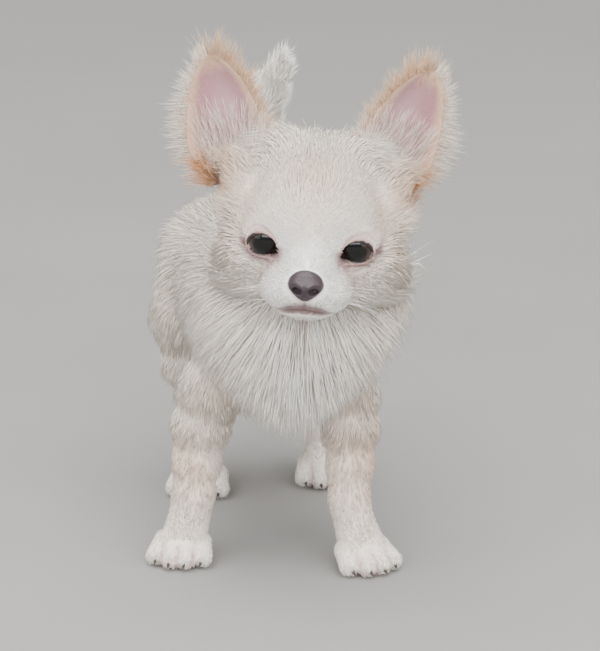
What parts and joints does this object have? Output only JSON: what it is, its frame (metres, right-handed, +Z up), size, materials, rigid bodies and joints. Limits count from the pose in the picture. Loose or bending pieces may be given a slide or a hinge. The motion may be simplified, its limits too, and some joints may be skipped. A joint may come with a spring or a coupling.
{
  "type": "long-haired chihuahua puppy, standing, still life-size model",
  "caption": "Life-size still model of a cream-white long-haired chihuahua puppy, standing square and looking slightly down, tail raised.",
  "frame": {"origin": "middle of the ground under the whole dog: the bottom centre of its box", "axes": "+Z up, -Y the way the dog faces, +X the dog's own left"},
  "size_m": [0.149, 0.2274, 0.2393],
  "materials": {
    "coat": "long, soft, cream-white hair with faint tan shading",
    "ear_skin": "thin pink-mauve skin with tan hair along the rims",
    "nose": "finely pebbled, moist, mauve-grey",
    "eye": "wet, nearly black",
    "claw": "dark horn"
  },
  "bodies": {
    "root": {"foreleg_right": "coat", "forepaw_right": "coat", "claw_forepaw_right_1": "claw", "claw_forepaw_right_2": "claw", "claw_forepaw_right_3": "claw", "claw_forepaw_right_4": "claw", "foreleg_left": "coat", "forepaw_left": "coat", "claw_forepaw_left_1": "claw", "claw_forepaw_left_2": "claw", "claw_forepaw_left_3": "claw", "claw_forepaw_left_4": "claw", "hindleg_right": "coat", "hindleg_right_hock": "coat", "hindpaw_right": "coat", "claw_hindpaw_right_1": "claw", "claw_hindpaw_right_2": "claw", "claw_hindpaw_right_3": "claw", "claw_hindpaw_right_4": "claw", "hindleg_left": "coat", "hindleg_left_hock": "coat", "hindpaw_left": "coat", "claw_hindpaw_left_1": "claw", "claw_hindpaw_left_2": "claw", "claw_hindpaw_left_3": "claw", "claw_hindpaw_left_4": "claw", "torso": "coat", "neck": "coat", "tail": "coat", "head": "coat", "eye_right": "eye", "eye_left": "eye", "nose": "nose", "ear_right": "ear_skin", "ear_left": "ear_skin"}
  },
  "joints": []
}
